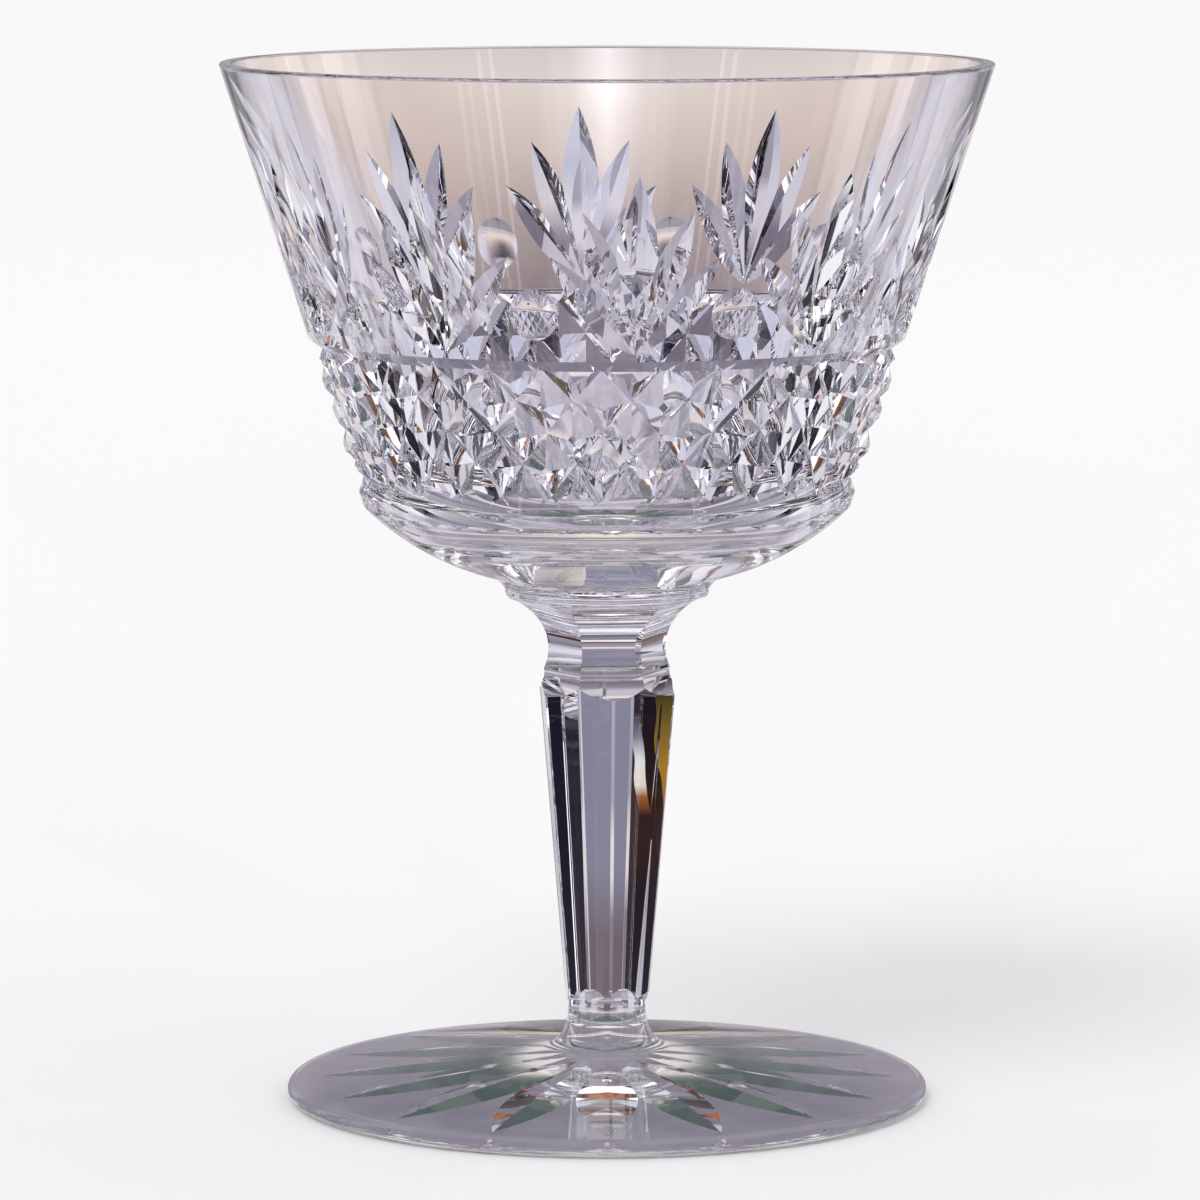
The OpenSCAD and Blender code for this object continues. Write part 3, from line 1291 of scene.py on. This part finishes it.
    # A dark paper with bright bands high on the wall and over the glass, which paints the glow under the back
    # rim.
    LAMP = replace(
        MAUVE,
        wall=((0, "#332D33"), (1320, "#332D33"), (1380, "#FFFFFF"), (1430, "#FFFFFF")),
        roof=(
            (0, "#5A5560"),
            (900, "#3A3642"),
            (1400, "#5C525E"),
            (1480, "#FFFFFF"),
            (1650, "#F4F5FC"),
            (1740, "#5C525E"),
        ),
    )
    # Narrow coloured papers that paint coloured glints into the cuts, in place of the colours that crystal
    # splits light into.
    ORANGE = replace(SLATE, wall=((0, "#8A3F12"), (1430, "#E08A35")))
    VIOLET = replace(SLATE, wall=((0, "#2C1A66"), (1430, "#5A45B8")))


class Strip(Enum):
    """The three strips of a card."""

    FLOOR = 0
    WALL = 1
    ROOF = 2


@dataclass(frozen=True)
class Card:
    """A curved card that stands round the glass, which only the glass sees. It glows, so its colours are
    painted light and shade in the glass.

    Attributes:
        start: Where it starts, in degrees from the front towards the right.
        end: Where it ends.
        tone: Its paper.
        strength: How bright it shines.
        into: The paper that it shades into towards its end, if it does.
        into_strength: How bright that one shines.
    """

    start: float
    end: float
    tone: Tone
    strength: float = 1.0
    into: Tone | None = None
    into_strength: float = 1.0


@dataclass(frozen=True)
class Flag:
    """A small card that stands close to the stem, which only the glass sees. It glows, and paints shade or a
    glint into the shaft.

    Attributes:
        start: Where it starts, in degrees from straight behind the glass towards the left.
        end: Where it ends.
        distance: How far from the axis it stands.
        stops: Heights with the colour there, from its lower edge to its upper one.
    """

    start: float
    end: float
    distance: float
    stops: Stops


@dataclass(frozen=True)
class Studio:
    """A pale floor, soft light, and the cards that a clear glass needs round it to be seen. The cards glow
    and only the glass sees them, so they paint the light and shade in it.

    Attributes:
        floor: Colour of the floor.
        floor_radius: How far the floor goes.
        floor_roughness: Roughness of its flat paint.
        floor_gloss: How little it mirrors.
        drop: How far the floor lies under the foot.
        sky: Strength of the white light from all round.
        lamp: Strength of the soft lamp.
        lamp_spread: How wide the lamp is seen from the glass, in degrees.
        lamp_tilt: How far it stands from overhead, in degrees.
        lamp_turn: Its turn from the front about the axis, in degrees, with the left as minus.
        painted_foot_shade_and_glints: Distances from the axis with the colours that the glass sees under its
            foot and the camera doesn't: a white middle and a pale edge, which are painted highlights for the
            hub, and dark green between, a green mat's colour darkened as painted shade under the star.
        behind: Where the middle of the cards stands, across the glass from the camera, in degrees from the
            front.
        reach: How far the cards stand from the axis.
        tall: Height of the cards.
        flat: Degrees of a card that one flat face stands for.
        spread: Power that spreads the near stops of a card's colours.
    """

    floor: str = "#FBFBFC"
    floor_radius: float = 9000.0
    floor_roughness: float = 0.9
    floor_gloss: float = 0.1
    drop: float = 0.1
    sky: float = 0.8
    lamp: float = 0.75
    lamp_spread: float = 28.0
    lamp_tilt: float = 38.0
    lamp_turn: float = -35.0
    # Painted highlights for the hub in the middle and at the edge, and painted shade, dark green, under the
    # star between them.
    painted_foot_shade_and_glints: Stops = (
        (0, "#FFFFFF"),
        (7.5, "#FBF4EA"),
        (9.5, "#8A9088"),
        (11.5, "#4C6055"),
        (29, "#4A5F54"),
        (31, "#E4DEDC"),
    )
    behind: float = 175.0
    reach: float = 2600.0
    tall: float = 1430.0
    flat: float = 2.0
    spread: float = 0.4

    def cards(self) -> list[Card]:
        """Lists the cards of the left half, from behind the glass to the camera, and mirrors them.

        Returns:
            The cards of both halves.
        """
        half = [
            Card(0, 0.7, Tone.WINDOW),
            Card(0.7, 1.4, Tone.WINDOW, into=Tone.SHADE),
            Card(1.4, 8, Tone.SHADE, into=Tone.TAUPE),
            Card(8, 11.5, Tone.TAUPE, into=Tone.PALE),
            Card(11.5, 17, Tone.PALE),
            Card(17, 24, Tone.DUSK),
            Card(24, 34, Tone.LAVENDER),
            Card(34, 45, Tone.SLATE),
            Card(45, 51, Tone.UMBER),
            Card(51, 52, Tone.ORANGE),
            Card(52, 60, Tone.WHITE, 1.4),
            Card(60, 70, Tone.BLACK),
            Card(70, 85, Tone.WHITE, 1.4),
            Card(85, 86, Tone.VIOLET),
            Card(86, 95, Tone.BLACK),
            Card(95, 102, Tone.LAVENDER),
            Card(102, 136, Tone.NIGHT),
            Card(136, 137.5, Tone.WHITE, 2.0),
            Card(137.5, 160, Tone.NIGHT),
            Card(160, 166, Tone.MAUVE),
            Card(166, 180, Tone.MAUVE, into=Tone.LAMP, into_strength=6.0),
        ]
        return [
            replace(card, start=self.behind + side * card.start, end=self.behind + side * card.end)
            for card in half
            for side in (1, -1)
        ]

    def flags(self) -> list[Flag]:
        """Lists the flags that shade the middle and the right side of the shaft, and that side's glints.

        Returns:
            The flags, with the two glints just before the dark side's.
        """
        middle = ((0, "#6C5F64"), (12, "#72676D"), (20, "#8A899B"), (41, "#8B8A9E"))
        side = ((0, "#15101A"), (14, "#1C1418"), (22, "#3A2216"), (31, "#241712"), (41, "#15101A"))
        amber = ((18, "#3A1A10"), (24, "#C4641C"), (30, "#B98A1C"), (37, "#6A5A20"), (41, "#2A2014"))
        white = (
            (24, "#1C1418"),
            (26.5, "#B06A30"),
            (28, "#FFF4E0"),
            (31, "#FFFFFF"),
            (34, "#8A869A"),
            (37, "#2A2836"),
        )
        return [
            Flag(-3.2, 3.4, 60, middle),
            Flag(44.6, 48.6, 150, side),
            Flag(44.6, 46.0, 149, amber),
            Flag(46.5, 46.85, 149, white),
        ]

    def build_world(self) -> None:
        """Makes the white world, plain white to the eye and in the glass."""
        world = bpy.data.worlds.new("white_room")
        bpy.context.scene.world = world
        world.use_nodes = True
        tree = world.node_tree
        tree.nodes.clear()
        path = add_node(tree, "ShaderNodeLightPath")
        seen = add_node(
            tree,
            "ShaderNodeMath",
            {"operation": "MAXIMUM"},
            {0: path.outputs["Is Camera Ray"], 1: path.outputs["Is Glossy Ray"]},
        )
        seen = add_node(
            tree,
            "ShaderNodeMath",
            {"operation": "MAXIMUM"},
            {0: seen.outputs["Value"], 1: path.outputs["Is Transmission Ray"]},
        )
        level = add_node(
            tree, "ShaderNodeMapRange", {"To Min": self.sky, "To Max": 1.0}, {"Value": seen.outputs["Value"]}
        )
        light = add_node(
            tree, "ShaderNodeBackground", {"Color": (1, 1, 1, 1)}, {"Strength": level.outputs["Result"]}
        )
        add_node(tree, "ShaderNodeOutputWorld", links={"Surface": light.outputs["Background"]})

    def build_floor(self) -> None:
        """Makes the pale floor."""
        floor = turned("floor", [(0, -self.drop), (self.floor_radius, -self.drop)], sides=96)
        made = bpy.data.materials.new("pale_painted_board")
        made.use_nodes = True
        board = made.node_tree.nodes["Principled BSDF"]
        board.inputs["Base Color"].default_value = linear(self.floor)
        board.inputs["Roughness"].default_value = self.floor_roughness
        board.inputs["Specular IOR Level"].default_value = self.floor_gloss
        floor.data.materials.append(made)

    def hide_from_eye(self, card: bpy.types.Object) -> None:
        """Leaves a card to reflections and to light that goes through the glass."""
        card.visible_camera = card.visible_diffuse = card.visible_shadow = False

    def glow(self, tree: bpy.types.NodeTree, radial: bool, stops: Stops, strength: float) -> Socket:
        """Makes the light of a paper.

        Args:
            tree: The tree of the material's nodes.
            radial: Whether it shades outwards over the floor, or upwards.
            stops: Distances in millimetres with the colour there.
            strength: How bright it shines.

        Returns:
            The socket that gives the light.
        """
        where = add_node(tree, "ShaderNodeTexCoord")
        if radial:
            level = add_node(
                tree,
                "ShaderNodeVectorMath",
                {"operation": "MULTIPLY", 1: (1, 1, 0)},
                {0: where.outputs["Object"]},
            )
            length = add_node(
                tree, "ShaderNodeVectorMath", {"operation": "LENGTH"}, {0: level.outputs["Vector"]}
            )
            distance = length.outputs["Value"]
        else:
            split = add_node(tree, "ShaderNodeSeparateXYZ", links={"Vector": where.outputs["Object"]})
            distance = split.outputs["Z"]
        far = stops[-1][0]
        place = add_node(tree, "ShaderNodeMapRange", {"From Max": far * MM}, {"Value": distance})
        # A ramp has few steps, so the near stops, which lie close together, are spread out.
        spread = add_node(
            tree, "ShaderNodeMath", {"operation": "POWER", 1: self.spread}, {0: place.outputs["Result"]}
        )
        ramp = add_node(tree, "ShaderNodeValToRGB", links={"Fac": spread.outputs["Value"]})
        set_stops(ramp.color_ramp, [((d / far) ** self.spread, colour) for d, colour in stops])
        paper = add_node(tree, "ShaderNodeEmission", {"Strength": strength}, {"Color": ramp.outputs["Color"]})
        return paper.outputs["Emission"]

    def across(self, tree: bpy.types.NodeTree, card: Card) -> Socket:
        """Gives how far across a card a point lies.

        Args:
            tree: The tree of the material's nodes.
            card: The card.

        Returns:
            The socket that gives the share, from 0 at the card's start to 1 at its end.
        """
        where = add_node(tree, "ShaderNodeTexCoord")
        # The turn is counted from the middle of the card, so that it never runs over a half turn.
        middle = math.radians((card.start + card.end) / 2)
        turned_back = add_node(
            tree,
            "ShaderNodeVectorRotate",
            {"rotation_type": "Z_AXIS", "Angle": math.pi - middle},
            {"Vector": where.outputs["Object"]},
        )
        split = add_node(tree, "ShaderNodeSeparateXYZ", links={"Vector": turned_back.outputs["Vector"]})
        turn = add_node(
            tree, "ShaderNodeMath", {"operation": "ARCTAN2"}, {0: split.outputs["X"], 1: split.outputs["Y"]}
        )
        half = math.radians((card.end - card.start) / 2)
        share = add_node(
            tree,
            "ShaderNodeMapRange",
            {"From Min": half, "From Max": -half},
            {"Value": turn.outputs["Value"]},
        )
        return share.outputs["Result"]

    def stops(self, tone: Tone, strip: Strip) -> Stops:
        """Gives the colours of a strip of a card.

        Args:
            tone: The card's paper.
            strip: Which of its strips.

        Returns:
            Distances from the axis with the colour there, or heights on the wall.
        """
        paper: Paper = tone.value
        if strip is Strip.WALL:
            return paper.wall
        # Every floor strip starts with the painted shade and highlights under the foot.
        near, far = (self.painted_foot_shade_and_glints, paper.floor) if strip is Strip.FLOOR else ((), paper.roof)
        return (*near, *far, (self.reach, far[-1][1]))

    def paper(self, name: str, card: Card, strip: Strip) -> bpy.types.Material:
        """Makes the paper of one strip of a card.

        Args:
            name: The material's name.
            card: The card.
            strip: Which of its strips.

        Returns:
            The material.
        """
        made = bpy.data.materials.new(name)
        made.use_nodes = True
        tree = made.node_tree
        tree.nodes.clear()
        # What lies on the floor isn't lit more than the floor is.
        strength = 1.0 if strip is Strip.FLOOR else card.strength
        light = self.glow(tree, strip is not Strip.WALL, self.stops(card.tone, strip), strength)
        if card.into:
            strength = 1.0 if strip is Strip.FLOOR else card.into_strength
            other = self.glow(tree, strip is not Strip.WALL, self.stops(card.into, strip), strength)
            share = self.across(tree, card)
            mixed = add_node(tree, "ShaderNodeMixShader", links={0: share, 1: light, 2: other})
            light = mixed.outputs["Shader"]
        add_node(tree, "ShaderNodeOutputMaterial", links={"Surface": light})
        return made

    def curved(self, name: str, turns: tuple[float, float], start: Point, end: Point) -> bpy.types.Object:
        """Makes a curved strip about the axis.

        Args:
            name: The object's name.
            turns: Where it starts and ends, in degrees from the front towards the right.
            start: Radius and height of the strip's first edge.
            end: Radius and height of its other edge.

        Returns:
            The strip.
        """
        first, wide = turns[0], turns[1] - turns[0]
        steps = max(2, round(abs(wide) / self.flat))
        points, faces = [], []
        for i in range(steps + 1):
            turn = math.radians(first + wide * i / steps)
            points += [Vector((r * math.sin(turn), -r * math.cos(turn), z)) for r, z in (start, end)]
            if i:
                faces.append((2 * i - 2, 2 * i, 2 * i + 1, 2 * i - 1))
        return body(name, points, faces)

    def build_cards(self) -> None:
        """Stands the cards round the glass, each with its strip of floor and of ceiling."""
        low = -self.drop / 2
        rails = [(0.0, low), (self.reach, low), (self.reach, self.tall), (0.0, self.tall)]
        for number, card in enumerate(self.cards()):
            for strip, start, end in zip(Strip, rails, rails[1:]):
                made = self.curved(f"card_{number}_{strip.value}", (card.start, card.end), start, end)
                made.data.materials.append(self.paper(f"card_paper_{number}_{strip.value}", card, strip))
                self.hide_from_eye(made)

    def build_flags(self) -> None:
        """Stands the flags close behind the shaft."""
        for number, flag in enumerate(self.flags()):
            turns = (self.behind + flag.start, self.behind + flag.end)
            start, end = ((flag.distance, height) for height, _ in (flag.stops[0], flag.stops[-1]))
            made = self.curved(f"flag_{number}", turns, start, end)
            material = bpy.data.materials.new(f"flag_paper_{number}")
            material.use_nodes = True
            tree = material.node_tree
            tree.nodes.clear()
            light = self.glow(tree, False, flag.stops, 1.0)
            add_node(tree, "ShaderNodeOutputMaterial", links={"Surface": light})
            made.data.materials.append(material)
            self.hide_from_eye(made)

    def build_lamp(self) -> None:
        """Hangs the soft lamp over the left shoulder of the camera."""
        data = bpy.data.lights.new("soft_lamp", "SUN")
        data.energy = self.lamp
        data.angle = math.radians(self.lamp_spread)
        lamp = bpy.data.objects.new("soft_lamp", data)
        lamp.rotation_euler = (math.radians(self.lamp_tilt), 0, math.radians(self.lamp_turn))
        bpy.context.scene.collection.objects.link(lamp)

    def build(self) -> None:
        """Builds the studio."""
        self.build_world()
        self.build_floor()
        self.build_cards()
        self.build_flags()
        self.build_lamp()


@dataclass(frozen=True)
class PhotoCamera:
    """The camera where the photograph was taken from.

    Attributes:
        distance: Level distance from the axis of the glass.
        height: Height over the floor.
        azimuth: Turn from the front, in degrees.
        pitch: How far it looks down, in degrees.
        pan: How far it looks to the left of the axis, in degrees.
        frame: Width of the square frame.
        lens: Focal length on that frame.
    """

    distance: float = 672.9
    height: float = 134.7
    azimuth: float = -5.0
    pitch: float = 7.114
    pan: float = 0.06
    frame: float = 36.0
    lens: float = 201.3

    def build(self) -> None:
        """Makes the camera and hands it to the scene."""
        data = bpy.data.cameras.new("photo_camera")
        data.sensor_width = self.frame
        data.lens = self.lens
        camera = bpy.data.objects.new("photo_camera", data)
        turn = math.radians(self.azimuth)
        place = Vector((math.sin(turn) * self.distance, -math.cos(turn) * self.distance, self.height))
        camera.location = place * MM
        camera.rotation_euler = (math.radians(90 - self.pitch), 0, turn + math.radians(self.pan))
        bpy.context.scene.collection.objects.link(camera)
        bpy.context.scene.camera = camera


def set_light_paths() -> None:
    """Sets the plain view, and lets light go through as many faces as cut glass has."""
    scene = bpy.context.scene
    scene.view_settings.view_transform = "Standard"
    scene.cycles.max_bounces = 32
    scene.cycles.transmission_bounces = 32
    scene.cycles.glossy_bounces = 12
    scene.cycles.transparent_max_bounces = 16


def main() -> None:
    """Loads the frame, builds and dresses the glass, and sets up the studio."""
    logging.basicConfig(level=logging.INFO, format="%(name)s: %(message)s")
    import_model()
    set_light_paths()
    PhotoCamera().build()
    dresser = Dresser(CutCrystal().material(), FusedJoint().material(), GroundCrystal().material())
    foot, stem, wafer, bowl = Foot(), Stem(), Wafer(), Bowl()
    dresser.dress(foot.build(), "foot", [foot.hub_height])
    dresser.dress(stem.build(), "stem", [stem.base, stem.base + stem.length])
    dresser.dress(wafer.build(), "wafer", [wafer.base, wafer.base + wafer.height])
    dresser.dress(bowl.build(), "bowl", [bowl.base])
    Studio().build()


if __name__ == "__main__":
    main()
